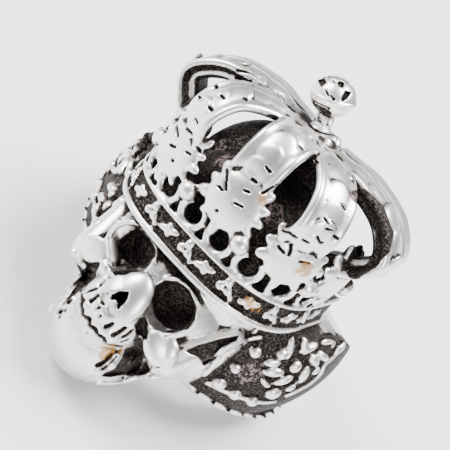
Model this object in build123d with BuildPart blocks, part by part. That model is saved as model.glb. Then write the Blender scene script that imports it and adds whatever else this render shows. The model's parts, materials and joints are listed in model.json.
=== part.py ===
# A heavy cast ring: a grinning skull in an open crown, on a wide shank with raised dots and flowers
import os
from math import asin, atan2, cos, degrees, radians, sin, sqrt

from build123d import *

os.makedirs("parts", exist_ok=True)

# Frame of the head: x to the skull's left, y to the back, z up the skull.
# Its origin is the middle of the crown's lower rim. All lengths are millimetres.

# Driving dimensions of the shank
finger_radius = 9.6
bore_setback = 9.0
back_wall = 2.6
shank_radius = 13.9
shank_crowning = 1.5
shoulder_top = 1.9
shoulder_width = 11.3
back_level = -5.5
back_width = 5.6
rail_radius = 0.34
rail_start = -50.0
rail_end = 26.0
dot_radius = 0.56
dot_proud = 0.08
border_step = 9.0
border_inset = 0.9
flower_radius = 0.66
petal_count = 6
petal_reach = 1.55

# Columns: turn and level of each dot and flower, from 0 at the side to -90 at the front
left_dots = [(-48.0, -6.3), (-49.0, -4.1), (-49.0, -1.8), (-28.0, -4.3), (-39.0, -0.9)]
left_dots += [(-8.0, 0.7), (0.0, 0.4), (8.0, 0.0), (-12.0, -3.4), (4.0, -3.2)]
right_dots = [(-51.8, -5.0), (-52.0, -7.0), (-37.5, -6.2), (-12.0, -4.4), (4.0, -3.6)]
left_flower = (-29.5, -1.3)
right_flower = (-34.0, -3.9)

# The leaning orb's weight rolls the resting ring a little to the skull's right
rest_roll = -1.0

# Driving dimensions of the skull
face_width = 14.8
face_depth = 11.0
face_height = 11.6
brow_level = -2.6
eye_radius = 2.15
eye_spacing = 5.9
eye_depth = 2.8
eye_rim = 0.55
muzzle_width = 6.6
muzzle_reach = 13.3
chin_radius = 4.35
chin_reach = 11.9
chin_drop = 10.9
cheek_radius = 1.7
cheek_spacing = 11.2
cheek_level = -6.4
cheek_reach = 8.4
nose_width = 2.2
nose_height = 2.2
nose_depth = 1.7
dome_radius = 8.1
dome_height = 10.2

# Driving dimensions of the crown
crown_roll = 8.0
crown_turn = 2.0
crown_gap = 0.05
band_half_width = 9.6
band_squareness = 2.7
band_stretch = 1.1
band_height = 3.1
band_wall = 1.0
side_length = 4.5
lower_rim = 0.66
upper_rim = 0.44
rim_proud = 0.34
motif_radius = 0.36
motif_pitch = 14.0
motif_count = 13
motif_proud = 0.22
ball_radius = 0.86
ball_level = 5.4
ball_proud = 0.2
loop_radius = 1.45
loop_strip = 0.62
loop_wall = 0.8
loop_shift = 9.0
loop_level = 4.25
leaf_radius = 2.35
leaf_level = 6.9
leaf_wall = 0.9
leaf_inset = 0.8
arch_width = 2.9
arch_wall = 1.2
arch_inset = 0.5
front_bulge = 1.0
side_bulge = 3.8
arch_rise = 6.8
arch_turn = 37.5
arch_count = 5
boss_radius = 1.8
boss_above = 0.45
boss_below = 1.6
boss_forward = 1.9
boss_level = 14.0

# Driving dimensions of the orb on top
orb_radius = 2.15
orb_squash = 0.84
orb_lean = 20.0
orb_lift = 3.75
stem_radius = 0.62
stem_waist = 0.5
stem_foot = 1.1
foot_wall = 0.25
socket_depth = 1.0
socket_gap = 0.04
mark_size = 0.8
mark_depth = 0.35


# A ball of radius 1 with a tiny flat at each end, so that its surface has no poles
flat_radius = 0.06
flat_level = sqrt(1 - flat_radius**2)

with BuildPart() as unit_ball:
    with BuildSketch(Plane.XZ):
        with BuildLine():
            Polyline((flat_radius, flat_level), (0, flat_level), (0, -flat_level))
            Line((0, -flat_level), (flat_radius, -flat_level))
            ThreePointArc((flat_radius, -flat_level), (1, 0), (flat_radius, flat_level))
        make_face()
    revolve(axis=Axis.Z)


# A bead of radius 1 with a wide flat at each end
bead_flat = 0.4

with BuildPart() as unit_bead:
    with BuildSketch(Plane.XZ):
        with BuildLine():
            Polyline((bead_flat, 0.9), (0, 0.9), (0, -0.9), (bead_flat, -0.9))
            ThreePointArc((bead_flat, -0.9), (1, 0), (bead_flat, 0.9))
        make_face()
    revolve(axis=Axis.Z)


def bead(radius):
    """A flat-faced bead about the origin, with its flats along z."""
    return scale(unit_bead.part, by=radius, mode=Mode.PRIVATE)


def ball(radius):
    """A ball about the origin."""
    return scale(unit_ball.part, by=radius, mode=Mode.PRIVATE)


def egg(x_radius, y_radius, z_radius, x, y, z):
    """An egg-shaped solid with its own half sizes, about a point."""
    return Pos(x, y, z) * scale(unit_ball.part, by=(x_radius, y_radius, z_radius), mode=Mode.PRIVATE)


def bar(start, end, start_radius, end_radius):
    """A round bar between two points, with a ball at each end."""
    run = Vector(*end) - Vector(*start)
    plane = Plane(origin=start, z_dir=run)
    stem = Solid.make_cone(start_radius, end_radius, run.length, plane)
    return [stem, Pos(*start) * ball(start_radius), Pos(*end) * ball(end_radius)]


# Shank: thick at the shoulders and thin at the back, so its outside is set forward of the bore

shank_setback = bore_setback + finger_radius + back_wall - shank_radius
shank_middle = shoulder_top - shoulder_width / 2
shank_bottom = shoulder_top - shoulder_width
edge_radius = shank_radius - shank_crowning
shank_axis = Axis((0, shank_setback, 0), (0, 0, 1))
back_end = shank_setback + shank_radius
taper_start = shank_setback - shank_radius / 3


def shank_reach(level):
    """The shank's outer radius at a level: largest in the middle of its width."""
    return shank_radius - shank_crowning * (2 * (level - shank_middle) / shoulder_width) ** 2


def on_shank(turn, level, side):
    """A seat on the shank that faces outwards. Turn 0 is the side, and 90 the back."""
    outward = Vector(side * cos(radians(turn)), sin(radians(turn)), 0)
    point = Vector(0, shank_setback, level) + outward * (shank_reach(level) + dot_proud)
    return Plane(origin=point, x_dir=(0, 0, 1), z_dir=outward).location


def rail(level):
    """A raised border line round the left shoulder, at one level."""
    rail_plane = Plane(
        origin=(0, shank_setback, level),
        x_dir=(cos(radians(rail_start)), sin(radians(rail_start)), 0),
        z_dir=(sin(radians(rail_start)), -cos(radians(rail_start)), 0),
    )
    with BuildPart(mode=Mode.PRIVATE) as line:
        with BuildSketch(rail_plane):
            with Locations((shank_reach(level) - rail_radius / 3, 0)):
                Circle(rail_radius)
        revolve(axis=shank_axis, revolution_arc=rail_end - rail_start)
    return line.part


lower_rail = rail(shank_bottom + rail_radius)
rails = [lower_rail, rail(shoulder_top - rail_radius)]
rails.append(mirror(lower_rail, about=Plane.YZ, mode=Mode.PRIVATE))

border_count = int((rail_end - rail_start) / border_step)
border_turns = [rail_start + 2 + border_step * index for index in range(border_count)]
border = [(turn, shank_bottom + border_inset) for turn in border_turns]


def flower(middle):
    """Turn and level of a flower's ball and of its petals."""
    turn, level = middle
    petals = [middle]
    for index in range(petal_count):
        angle = radians(360 / petal_count * index + 15)
        along = degrees(petal_reach * cos(angle) / shank_radius)
        petals.append((turn + along, level + petal_reach * sin(angle)))
    return petals


dot_seats = [on_shank(turn, level, 1) for turn, level in left_dots + border]
dot_seats += [on_shank(turn, level, -1) for turn, level in right_dots + border]
petal_seats = [on_shank(turn, level, 1) for turn, level in flower(left_flower)]
petal_seats += [on_shank(turn, level, -1) for turn, level in flower(right_flower)]

with BuildPart() as shank:
    with BuildSketch(Plane.YZ):
        with BuildLine():
            Line((shank_setback, shoulder_top), (shank_setback, shank_bottom))
            Line((shank_setback, shank_bottom), (shank_setback + edge_radius, shank_bottom))
            ThreePointArc(
                (shank_setback + edge_radius, shank_bottom),
                (back_end, shank_middle),
                (shank_setback + edge_radius, shoulder_top),
            )
            Line((shank_setback + edge_radius, shoulder_top), (shank_setback, shoulder_top))
        make_face()
    revolve(axis=shank_axis)
    with BuildSketch(Plane.YZ):
        with BuildLine():
            front = shank_setback - 2 * shank_radius
            back_top = back_level + back_width / 2
            back_bottom = back_level - back_width / 2
            Polyline((taper_start, shoulder_top), (front, shoulder_top), (front, shank_bottom))
            Line((front, shank_bottom), (taper_start, shank_bottom))
            Spline(
                (taper_start, shank_bottom),
                (back_end, back_bottom),
                tangents=[(1, 0), (1, 0)],
            )
            Line((back_end, back_bottom), (back_end, back_top))
            Spline(
                (back_end, back_top),
                (taper_start, shoulder_top),
                tangents=[(-1, 0), (-1, 0)],
            )
        make_face()
    extrude(amount=2 * shank_radius, both=True, mode=Mode.INTERSECT)
    with Locations((0, bore_setback, 0)):
        Cylinder(finger_radius, 6 * shoulder_width, mode=Mode.SUBTRACT)

# Crown seat on the head

crown_seat = Location((0, 0, 0), (0, -crown_roll, 0))

with BuildPart(crown_seat * Pos(0, 0, -crown_gap), mode=Mode.PRIVATE) as over_head:
    Box(
        6 * shank_radius,
        6 * shank_radius,
        2 * shank_radius,
        align=(Align.CENTER, Align.CENTER, Align.MIN),
    )


def plan_point(turn, half_width, level=0.0):
    """A point on the crown's squarish plan. Turn 0 is the front and 90 the skull's left."""
    side, front = sin(radians(turn)), cos(radians(turn))
    power = band_squareness
    reach = half_width / (abs(side) ** power + abs(front) ** power) ** (1 / power)
    return (reach * side, -band_stretch * reach * front, level)


def plan_plane(turn, half_width, level):
    """A plane that faces outwards from the crown's plan at a turn."""
    here = Vector(*plan_point(turn, half_width, level))
    ahead = Vector(*plan_point(turn + 2, half_width, level))
    behind = Vector(*plan_point(turn - 2, half_width, level))
    along = (ahead - behind).normalized()
    return Plane(origin=here, x_dir=along, z_dir=along.cross(Vector(0, 0, 1)))


def plan_face(half_width):
    """The crown's plan as a face: a squarish front, straight sides and a flat back."""
    with BuildSketch(mode=Mode.PRIVATE) as face:
        with BuildLine():
            points = [plan_point(turn, half_width)[:2] for turn in range(-90, 91, 15)]
            front = Spline(*points, tangents=[(0, -1), (0, 1)])
            Line(front @ 1, (half_width, side_length))
            Line((half_width, side_length), (-half_width, side_length))
            Line((-half_width, side_length), front @ 0)
        make_face()
    return face.sketch


# Skull

eye_x = eye_spacing / 2
cheek_x = cheek_spacing / 2
face_half = face_width / 2

face_form = [
    egg(face_half, face_depth - 3.2, face_height / 2, 0, -3.2, brow_level - 1.2),
    egg(muzzle_width / 2, 4.4, 4.9, 0, 4.4 - muzzle_reach, -6.7),
    egg(chin_radius, chin_radius, chin_radius, 0, chin_radius - chin_reach, -chin_drop),
    egg(5.2, 6.0, 3.7, 0, -3.6, -9.6),
    egg(6.6, 5.2, 5.6, 0, -0.4, -5.4),
]
cheek_bars = []
for side in (-1, 1):
    under_eye = (side * 3.0, -10.1, -5.3)
    lobe = (side * cheek_x, -cheek_reach, cheek_level)
    temple = (side * 6.9, -4.8, -1.9)
    jaw_front = (side * 2.5, -8.4, -13.0)
    jaw_angle = (side * 5.7, -3.2, -9.4)
    cheek_bars += bar(under_eye, lobe, 0.9, cheek_radius)
    cheek_bars += bar(lobe, temple, cheek_radius, 1.25)
    cheek_bars += bar(jaw_front, jaw_angle, 0.9, 0.8)

sockets = []
hollows = []
for side in (-1, 1):
    sockets.append(
        egg(eye_radius, eye_depth, eye_radius * 1.04, side * eye_x, -face_depth + 0.5, brow_level)
    )
    hollows.append(egg(1.7, 3.2, 1.9, side * 5.9, -7.4, -9.6))
    hollows.append(egg(1.2, 1.9, 2.6, side * 4.35, -11.2, -7.4))

socket_plane = Plane.XZ.offset(face_depth - 1.15)
nose_plane = Plane.XZ.offset(muzzle_reach + 1)
nose_tip = -4.1
nose_foot = nose_tip - nose_height

with BuildPart() as skull_form:
    add(face_form)
    add(cheek_bars)
    with BuildSketch(socket_plane):
        with Locations((-eye_x, brow_level), (eye_x, brow_level)):
            Circle(eye_radius + eye_rim)
    extrude(amount=eye_rim, taper=20)
    add(sockets, mode=Mode.SUBTRACT)
    add(hollows, mode=Mode.SUBTRACT)
    with BuildSketch(nose_plane):
        with Locations((-nose_width / 4, nose_foot + nose_width / 4)):
            Circle(nose_width / 4 + 0.05)
        with Locations((nose_width / 4, nose_foot + nose_width / 4)):
            Circle(nose_width / 4 + 0.05)
        with BuildLine():
            Polyline(
                (-nose_width / 2, nose_foot + nose_width / 4),
                (0, nose_tip),
                (nose_width / 2, nose_foot + nose_width / 4),
                (0, nose_foot + nose_width / 4 - 0.15),
                close=True,
            )
        make_face()
    extrude(amount=-(nose_depth + 1.6), mode=Mode.SUBTRACT)
    add(over_head.part, mode=Mode.SUBTRACT)

# The dome is turned so that its seam lies at the side, clear of the face's seams
dome_radii = (dome_radius - 0.5, dome_radius, dome_height)
dome = Pos(0, -1.6, 0) * Rot(0, 0, 90) * scale(unit_ball.part, by=dome_radii, mode=Mode.PRIVATE)

with BuildPart() as head_form:
    add(skull_form.part)
    add(dome)

with BuildPart() as skull_ring_form:
    add(shank.part)
    with Locations(*dot_seats):
        add(bead(dot_radius))
    with Locations(*petal_seats):
        add(bead(flower_radius))
    add(rails)
    add(over_head.part, mode=Mode.SUBTRACT)
    add(head_form.part)
    with Locations((0, bore_setback, 0)):
        Cylinder(finger_radius, 6 * band_half_width, mode=Mode.SUBTRACT)

# Crown

arch_turns = [
    crown_turn + arch_turn * (index - (arch_count - 1) / 2) for index in range(arch_count)
]
ball_turns = [(a + b) / 2 for a, b in zip(arch_turns, arch_turns[1:])]
ball_turns = [arch_turns[0] - arch_turn / 2] + ball_turns + [arch_turns[-1] + arch_turn / 2]
loop_turns = [turn + side * loop_shift for turn in ball_turns for side in (-1, 1)]
motif_turns = [motif_pitch * (index - (motif_count - 1) / 2) for index in range(motif_count)]
leaf_half_width = band_half_width - leaf_inset
motif_level = (lower_rim + band_height - upper_rim) / 2
boss_point = Vector(0, -boss_forward, boss_level)

# Columns: share of an arch's reach, of its bulge and of its rise, from its foot to the boss
arch_shares = [
    (1.0, 0.0, -0.04),
    (1.0, 0.72, 0.25),
    (1.0, 1.0, 0.58),
    (0.97, 0.45, 0.93),
    (0.72, 0.0, 1.05),
    (0.4, 0.0, 1.0),
    (0.13, 0.0, 0.97),
]

orb_axis = Plane(origin=boss_point, z_dir=(-sin(radians(orb_lean)), 0, cos(radians(orb_lean))))
finger_in_crown = crown_seat.inverse() * Pos(0, bore_setback, 0)


def arch_plane(turn):
    """The upright plane that holds an arch, with x from the boss to the foot, and that reach."""
    foot = plan_point(turn, leaf_half_width - arch_inset)
    outward = Vector(foot[0] - boss_point.X, foot[1] - boss_point.Y, 0)
    origin = (boss_point.X, boss_point.Y, 0)
    return Plane(origin=origin, x_dir=outward, z_dir=outward.cross(Vector(0, 0, 1))), outward.length


def beside(points, distance):
    """The points of a path, moved to its left by a distance."""
    moved = []
    for before, here, after in zip(points[:1] + points, points, points[1:] + points[-1:]):
        along = (Vector(*after) - Vector(*before)).normalized()
        moved.append(Vector(*here) + distance * Vector(-along.Y, along.X))
    return moved


with BuildPart() as band:
    with BuildSketch():
        add(plan_face(band_half_width))
        add(plan_face(band_half_width - band_wall), mode=Mode.SUBTRACT)
    extrude(amount=band_height)
    with BuildSketch(Plane.XY, Plane.XY.offset(band_height - upper_rim)):
        add(plan_face(band_half_width + rim_proud))
        add(plan_face(band_half_width - band_wall), mode=Mode.SUBTRACT)
    extrude(amount=upper_rim)

with BuildPart() as motifs:
    for index, turn in enumerate(motif_turns):
        with BuildSketch(plan_plane(turn, band_half_width, motif_level)):
            if index % 2:
                with PolarLocations(1.1 * motif_radius, 3, start_angle=90):
                    Circle(motif_radius)
                with Locations((2.6 * motif_radius, 0)):
                    Circle(0.6 * motif_radius)
            else:
                Rectangle(2.6 * motif_radius, 2.6 * motif_radius, rotation=45)
        extrude(amount=motif_proud, both=True)

with BuildPart() as leaves:
    for turn in arch_turns:
        with BuildSketch(plan_plane(turn, leaf_half_width, leaf_level)):
            Circle(0.7 * leaf_radius)
            with PolarLocations(0.68 * leaf_radius, 5, start_angle=90):
                Circle(0.42 * leaf_radius)
        extrude(amount=leaf_wall / 2, both=True)

with BuildPart() as loops:
    for turn in loop_turns:
        with BuildSketch(plan_plane(turn, leaf_half_width, loop_level)):
            Circle(loop_radius)
            Circle(loop_radius - loop_strip, mode=Mode.SUBTRACT)
        extrude(amount=loop_wall / 2, both=True)

with BuildPart() as arches:
    for turn in arch_turns:
        plane, reach = arch_plane(turn)
        bulge = front_bulge + (side_bulge - front_bulge) * sin(radians(turn)) ** 2
        points = [
            (along * reach + out * bulge, leaf_level + up * arch_rise)
            for along, out, up in arch_shares
        ]
        outside = beside(points, -arch_wall / 2)
        inside = beside(points, arch_wall / 2)
        with BuildSketch(plane):
            with BuildLine():
                Spline(*outside)
                Line(outside[-1], inside[-1])
                Spline(*inside[::-1])
                Line(inside[0], outside[0])
            make_face()
        extrude(amount=arch_width / 2, both=True)
    with BuildSketch(orb_axis.offset(-boss_below)):
        Circle(boss_radius)
    extrude(amount=boss_below + boss_above)

with BuildPart() as crown_form:
    add(band.part)
    add(motifs.part)
    add(loops.part)
    add(leaves.part)
    for turn in ball_turns:
        with Locations(plan_plane(turn, leaf_half_width + ball_proud, ball_level).location):
            add(bead(ball_radius))
    add(arches.part)
    with Locations(finger_in_crown):
        Cylinder(finger_radius, 6 * band_half_width, mode=Mode.SUBTRACT)
    with BuildSketch(orb_axis.offset(boss_above - socket_depth)):
        Circle(stem_radius + socket_gap)
    extrude(amount=2 * socket_depth, mode=Mode.SUBTRACT)
    with BuildSketch(orb_axis.offset(boss_above)):
        Circle(stem_foot + 2 * socket_gap)
    extrude(amount=2 * socket_depth, mode=Mode.SUBTRACT)

# Orb on its stem

orb_half_height = orb_radius * orb_squash

with BuildPart() as orb_form:
    with BuildSketch(Plane.XZ):
        with BuildLine():
            Polyline(
                (0, orb_lift),
                (0, boss_above - socket_depth + socket_gap),
                (stem_radius, boss_above - socket_depth + socket_gap),
                (stem_radius, boss_above + socket_gap),
                (stem_foot, boss_above + socket_gap),
                (stem_foot, boss_above + socket_gap + foot_wall),
                (stem_waist, boss_above + 3 * foot_wall),
                (stem_radius, orb_lift - 0.95 * orb_half_height),
            )
            ThreePointArc(
                (stem_radius, orb_lift - 0.95 * orb_half_height),
                (0.86 * orb_radius, orb_lift - 0.51 * orb_half_height),
                (orb_radius, orb_lift),
            )
            ThreePointArc(
                (orb_radius, orb_lift),
                (0.78 * orb_radius, orb_lift + 0.63 * orb_half_height),
                (flat_radius, orb_lift + orb_half_height),
            )
            Line((flat_radius, orb_lift + orb_half_height), (0, orb_lift + orb_half_height))
            Line((0, orb_lift + orb_half_height), (0, orb_lift))
        make_face()
    revolve(axis=Axis.Z)
    for index in range(4):
        mark_seat = Rot(0, 0, 90 * index + 30) * Pos(0, 0, orb_lift) * Rot(0, 40, 0)
        with Locations(mark_seat * Pos(0, 0, orb_half_height + 0.6)):
            Box(mark_size, 0.7 * mark_size, 2 * (mark_depth + 0.6), mode=Mode.SUBTRACT)

# Rest: the ring lies on its side, on the chin and on the lower edge of its back

bore_middle = Vector(0, bore_setback, back_level)
chin_to_edge = Vector(
    0,
    back_end - (chin_radius - chin_reach),
    back_level - back_width / 2 + chin_drop,
)
rest_tip = degrees(
    atan2(chin_to_edge.Z, chin_to_edge.Y) + asin(chin_radius / chin_to_edge.length)
)
bore_seat = Pos(-bore_middle.X, -bore_middle.Y, -bore_middle.Z)
rest_seat = Rot(0, rest_roll, 0) * Rot(-rest_tip, 0, 0) * bore_seat

with BuildPart() as skull_ring:
    with Locations(rest_seat):
        add(skull_ring_form.part)

with BuildPart() as crown:
    with Locations(rest_seat * crown_seat):
        add(crown_form.part)

with BuildPart() as orb_finial:
    with Locations(rest_seat * crown_seat * orb_axis.location):
        add(orb_form.part)

skull_ring.part.label = "skull_ring"
crown.part.label = "crown"
orb_finial.part.label = "orb_finial"
export_step(skull_ring.part, "parts/skull_ring.step")
export_step(crown.part, "parts/crown.step")
export_step(orb_finial.part, "parts/orb_finial.step")
print(f"The ring rests with its front raised by {rest_tip:.2f} degrees")
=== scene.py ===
# %% [markdown]
# This notebook dresses a heavy cast silver ring: a grinning skull under an open crown, on a wide shank.
# The ring lies on its side on pale paper, on its chin and on the lower edge of its back.
# The solids of the ring come with the frame. They have the right size and place, and here they get their
# carving, their worn polish and the black silver oxide that fills every hollow.
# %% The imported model
import json
from math import asin, atan2, ceil, cos, pi, radians, sin, tau

import bpy
import numpy as np
from mathutils import Matrix, Vector
from mathutils.bvhtree import BVHTree

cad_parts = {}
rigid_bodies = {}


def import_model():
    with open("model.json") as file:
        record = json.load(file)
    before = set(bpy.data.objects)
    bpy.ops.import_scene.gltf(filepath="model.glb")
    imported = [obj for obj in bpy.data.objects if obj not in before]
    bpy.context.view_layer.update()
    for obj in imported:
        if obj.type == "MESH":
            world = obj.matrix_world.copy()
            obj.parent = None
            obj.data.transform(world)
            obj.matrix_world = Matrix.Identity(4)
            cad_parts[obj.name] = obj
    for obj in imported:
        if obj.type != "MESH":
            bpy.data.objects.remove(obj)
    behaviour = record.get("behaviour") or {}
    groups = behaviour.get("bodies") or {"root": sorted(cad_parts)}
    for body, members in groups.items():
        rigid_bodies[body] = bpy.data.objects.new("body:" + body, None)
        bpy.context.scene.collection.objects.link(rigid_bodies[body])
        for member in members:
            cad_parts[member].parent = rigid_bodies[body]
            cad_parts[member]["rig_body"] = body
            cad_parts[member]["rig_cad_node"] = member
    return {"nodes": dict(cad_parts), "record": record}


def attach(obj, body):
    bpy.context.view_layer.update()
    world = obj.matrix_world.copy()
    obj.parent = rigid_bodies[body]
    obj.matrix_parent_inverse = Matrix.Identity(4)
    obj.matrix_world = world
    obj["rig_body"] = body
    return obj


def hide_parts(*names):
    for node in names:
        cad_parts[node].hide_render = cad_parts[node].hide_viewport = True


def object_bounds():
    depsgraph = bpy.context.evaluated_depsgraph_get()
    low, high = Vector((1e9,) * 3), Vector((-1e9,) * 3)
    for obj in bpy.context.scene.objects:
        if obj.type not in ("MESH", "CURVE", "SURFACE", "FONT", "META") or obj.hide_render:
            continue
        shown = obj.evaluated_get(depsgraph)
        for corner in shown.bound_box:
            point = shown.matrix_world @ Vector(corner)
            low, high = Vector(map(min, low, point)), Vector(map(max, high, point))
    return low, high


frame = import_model()
cad_box = [list(corner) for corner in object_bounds()]
print("solids", sorted(frame["nodes"]))
# %% [markdown]
# The skull leans back as the ring rests, so its carving is easiest to place in a frame of its own:
# x to the skull's left, y to the back and z up the skull, in millimetres.
# The finger hole's axis, which the record states, gives the lean. The crown sits a little askew on the head.
# %% Head frame and crown frame
MM = 0.001
bore = frame["record"]["mounts"][0]
bore_axis = Vector(bore["axis"]).normalized()
bore_middle = Vector((0, 9.0, -5.5))
crown_roll = radians(8.0)
lean = Matrix.Rotation(atan2(bore_axis.x, bore_axis.z), 4, "Y") @ Matrix.Rotation(-asin(bore_axis.y), 4, "X")
HEAD = lean @ Matrix.Scale(MM, 4) @ Matrix.Translation(-bore_middle)
CROWN = HEAD @ Matrix.Rotation(-crown_roll, 4, "Y")
print("the head's origin is at", [round(v / MM, 2) for v in HEAD.translation])
# %% [markdown]
# The camera looks at the head from above the skull's left eye, and it is turned about its own axis,
# because the photograph shows the skull lying askew. It keeps its place to the head, not to the floor.
# A sight line through a place in the picture then finds the same place on the ring.
# %% Camera
picture_size = 450
across = Vector((0.572, 0.411, 0.710))
upward = Vector((-0.799, 0.086, 0.594))
toward = across.cross(upward).normalized()
upward = toward.cross(across).normalized()
across.normalize()
camera_distance = 188.68
focal_pixels = 2168.0
picture_middle = Vector((223.3, 249.5))

camera = bpy.data.cameras.new("camera")
camera.lens = focal_pixels / picture_size * camera.sensor_width
camera.shift_x = (picture_size / 2 - picture_middle.x) / picture_size
camera.shift_y = (picture_middle.y - picture_size / 2) / picture_size
camera.clip_start = 0.01
view = bpy.data.objects.new("camera", camera)
turned = Matrix((across, upward, toward)).transposed().to_4x4()
eye = HEAD @ (toward * camera_distance)
view.matrix_world = Matrix.Translation(eye) @ lean @ turned
bpy.context.scene.collection.objects.link(view)
bpy.context.scene.camera = view
print("the camera stands", round((eye.z - cad_box[0][2]) / MM), "mm above the floor")


def sight(x, y):
    """The direction of the sight line through a place in the picture."""
    way = Vector((x - picture_middle.x, picture_middle.y - y, -focal_pixels))
    return (view.matrix_world.to_3x3() @ way).normalized()


def touch(tree, x, y):
    """Where the sight line through a place in the picture meets the ring, and the surface's normal."""
    spot, normal, _, _ = tree.ray_cast(eye, sight(x, y))
    if spot is None:
        print("nothing is seen at", x, y)
    return spot, normal
# %% [markdown]
# Each added form starts as a primitive in millimetres, in the head's or the crown's frame. `settle` moves
# its place into its mesh, so that its object stays at the origin, where the ring's own solids are.
# %% Making forms
def bare():
    """Nothing is selected."""
    bpy.ops.object.select_all(action="DESELECT")


def settle(seat, name):
    """Takes the new form from its own frame to its place on the ring."""
    form = bpy.context.object
    form.name = name
    form.data.transform(seat @ form.matrix_world)
    form.matrix_world = Matrix.Identity(4)
    return form


def egg(seat, place, radii, turn=(0, 0, 0)):
    """An egg-shaped form with its own half sizes."""
    bare()
    bpy.ops.mesh.primitive_ico_sphere_add(subdivisions=4, radius=1, location=place, rotation=turn)
    bpy.context.object.scale = radii
    bpy.context.view_layer.update()
    return settle(seat, "egg")


def smooth(points, steps):
    """A smooth run of points through a few chosen ones."""
    p = [Vector(q) for q in points]
    p = [2 * p[0] - p[1]] + p + [2 * p[-1] - p[-2]]
    run = []
    for a, b, c, d in zip(p, p[1:], p[2:], p[3:]):
        for k in range(steps):
            t = k / steps
            run.append(0.5 * (2 * b + (c - a) * t + (2 * a - 5 * b + 4 * c - d) * t * t
                              + (3 * b - a - 3 * c + d) * t ** 3))
    return run + [p[-2]]


def drawn(seat, points, thickness, width=0.0, closed=False):
    """A round wire along points, or a strap with rounded edges where it is given a width."""
    bare()
    curve = bpy.data.curves.new("drawn", "CURVE")
    curve.dimensions = "3D"
    curve.twist_mode = "Z_UP"
    curve.fill_mode = "FULL"
    curve.bevel_depth = thickness / 2
    curve.bevel_resolution = 3
    curve.extrude = max(width - thickness, 0) / 2
    curve.use_fill_caps = True
    line = curve.splines.new("POLY")
    line.points.add(len(points) - 1)
    for index, point in enumerate(points):
        line.points[index].co = (*point, 1)
        line.points[index].radius = 1
    line.use_cyclic_u = closed
    form = bpy.data.objects.new("drawn", curve)
    bpy.context.scene.collection.objects.link(form)
    form.select_set(True)
    bpy.context.view_layer.objects.active = form
    bpy.ops.object.convert(target="MESH")
    return settle(seat, "drawn")
# %% Starting and casting a piece
def copied(node):
    """A copy of one of the ring's solids, with its loose triangles merged, to start a piece from."""
    bare()
    form = frame["nodes"][node].copy()
    form.data = form.data.copy()
    form.parent = None
    form.matrix_world = Matrix.Identity(4)
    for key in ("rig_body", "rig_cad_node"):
        if key in form:
            del form[key]
    bpy.context.scene.collection.objects.link(form)
    form.select_set(True)
    bpy.context.view_layer.objects.active = form
    bpy.ops.object.mode_set(mode="EDIT")
    bpy.ops.mesh.select_all(action="SELECT")
    bpy.ops.mesh.remove_doubles(threshold=1e-6)
    bpy.ops.object.mode_set(mode="OBJECT")
    return form


def cast(forms, name, grain, passes=3):
    """Casts forms that run into one another as one skin of even small faces."""
    bare()
    for form in forms:
        form.select_set(True)
    bpy.context.view_layer.objects.active = forms[0]
    bpy.ops.object.join()
    piece = bpy.context.object
    piece.name = name
    piece.data.materials.clear()
    skin = piece.modifiers.new("skin", "REMESH")
    skin.mode = "VOXEL"
    skin.voxel_size = grain * MM
    bpy.ops.object.modifier_apply(modifier="skin")
    soften = piece.modifiers.new("soften", "SMOOTH")
    soften.factor = 0.5
    soften.iterations = passes
    bpy.ops.object.modifier_apply(modifier="soften")
    print(name, "has", len(piece.data.vertices), "points")
    return piece
# %% Points of a piece
def tree_of(piece):
    """A search tree of a piece's surface."""
    return BVHTree.FromObject(piece, bpy.context.evaluated_depsgraph_get())


def points_of(piece):
    """The places and normals of a piece's points."""
    count = len(piece.data.vertices)
    places = np.empty(count * 3)
    normals = np.empty(count * 3)
    piece.data.vertices.foreach_get("co", places)
    piece.data.vertices.foreach_get("normal", normals)
    return places.reshape(-1, 3), normals.reshape(-1, 3)


def local(places, seat):
    """Places in another frame, in millimetres."""
    back = np.array(seat.inverted())
    return places @ back[:3, :3].T + back[:3, 3]


def put_back(piece, places, seat):
    """Moves a piece's points to places that another frame gives in millimetres."""
    into = np.array(seat)
    piece.data.vertices.foreach_set("co", (places @ into[:3, :3].T + into[:3, 3]).ravel())
    piece.data.update()


def step(values, low, high):
    """0 below low, 1 above high and smooth between them."""
    share = np.clip((values - low) / (high - low), 0, 1)
    return share * share * (3 - 2 * share)
# %% [markdown]
# A graver cuts the grooves, nicks and small hollows into the cast skin. Each cut is a run of places seen in
# the picture, and the skin sinks round them. The cuts of each piece are remembered, because the black oxide
# stays in them. Larger hollows are outlines in the picture: what is seen inside one sinks away from the eye.
# %% Engraving
cuts = {}
# The gap between a cut's spots in picture units, and the power that rounds its floor
mark_gap, cut_roundness = 1.5, 0.7
# A point this little behind the surface still counts as seen
sight_slack = 0.25 * MM
# Keeps a level side of an outline from dividing by zero
tiny = 1e-9


def spots_along(tree, marks, gap):
    """Places on the surface along a broken line that is given as places in the picture."""
    found = []
    for (ax, ay), (bx, by) in zip(marks, marks[1:]):
        count = max(int(ceil(((bx - ax) ** 2 + (by - ay) ** 2) ** 0.5 / gap)), 1)
        for k in range(count + 1):
            spot, _ = touch(tree, ax + (bx - ax) * k / count, ay + (by - ay) * k / count)
            if spot is not None:
                found.append(spot)
    return found


def cut_depths(places, piece_name):
    """How deep the remembered cuts are at each place, in metres."""
    depths = np.zeros(len(places))
    for spots, width, depth in cuts[piece_name]:
        reach = width * MM / 2
        low = np.min(spots, axis=0) - reach
        high = np.max(spots, axis=0) + reach
        near = np.flatnonzero(((places > low) & (places < high)).all(1))
        if not len(near):
            continue
        gap = np.min(np.linalg.norm(places[near][:, None] - np.array(spots)[None], axis=2), axis=1)
        share = np.clip(1 - (gap / reach) ** 2, 0, 1) ** cut_roundness
        sunk = share * depth * MM
        depths[near] = np.maximum(depths[near], sunk)
    return depths


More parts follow.
